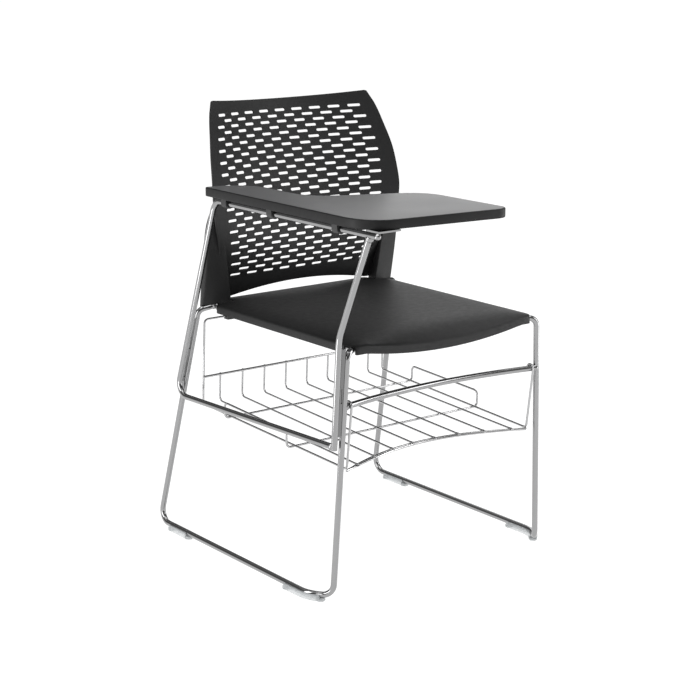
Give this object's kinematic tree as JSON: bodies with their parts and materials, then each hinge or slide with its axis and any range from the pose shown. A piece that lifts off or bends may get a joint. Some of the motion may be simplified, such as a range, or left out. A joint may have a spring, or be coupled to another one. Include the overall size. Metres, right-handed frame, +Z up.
{
  "type": "student desk chair",
  "caption": "Sled-base stacking chair with chromed rod frame, perforated black plastic back, flat plastic seat, L-shaped writing tablet and wire book basket.",
  "frame": {"origin": "centre of the whole chair's box on the floor, under the seat", "axes": "+Z up, the sitter faces -Y, and -X is the sitter's right, where the tablet is"},
  "size_m": [0.5496, 0.671, 0.8232],
  "materials": {
    "chrome": "bright chrome plate on steel rod",
    "wire_chrome": "bright chrome plate on steel wire",
    "shell_plastic": "fine-textured black polypropylene",
    "tablet_laminate": "dark laminate with a soft sheen",
    "edge_band": "black edge band",
    "clip_plastic": "black moulded nylon",
    "glides": "clear moulded plastic",
    "screws": "zinc-plated steel"
  },
  "bodies": {
    "frame": {"side_frame_right": "chrome", "side_frame_left": "chrome", "front_crossbar": "chrome", "seat_bar_front": "chrome", "seat_bar_rear": "chrome", "seat_shell": "shell_plastic", "seat_screw_front_right": "screws", "seat_screw_rear_right": "screws", "seat_screw_front_left": "screws", "seat_screw_rear_left": "screws", "back_shell": "shell_plastic", "back_screw_lower_right": "screws", "back_screw_upper_right": "screws", "back_screw_lower_left": "screws", "back_screw_upper_left": "screws", "tablet_frame_rod": "chrome", "tablet_front_upright": "chrome", "tablet_strap": "chrome", "mount_web_front": "chrome", "mount_web_rear": "chrome", "book_basket": "wire_chrome", "basket_hanger_right": "clip_plastic", "basket_hanger_left": "clip_plastic", "glide_front_right": "glides", "glide_rear_right": "glides", "glide_front_left": "glides", "glide_rear_left": "glides"},
    "tablet": {"tablet_board": "tablet_laminate", "tablet_edge_band": "edge_band", "tablet_clip_front": "clip_plastic", "tablet_clip_middle": "clip_plastic", "tablet_clip_rear": "clip_plastic", "tablet_screw_front": "screws", "tablet_screw_middle": "screws", "tablet_screw_rear": "screws"}
  },
  "joints": [
    {"name": "tablet_flip", "type": "hinge", "parent": "frame", "child": "tablet", "pos_m": [-0.24, 0, 0.6589], "axis": [0, -1, 0], "range_deg": [0, 90]}
  ]
}
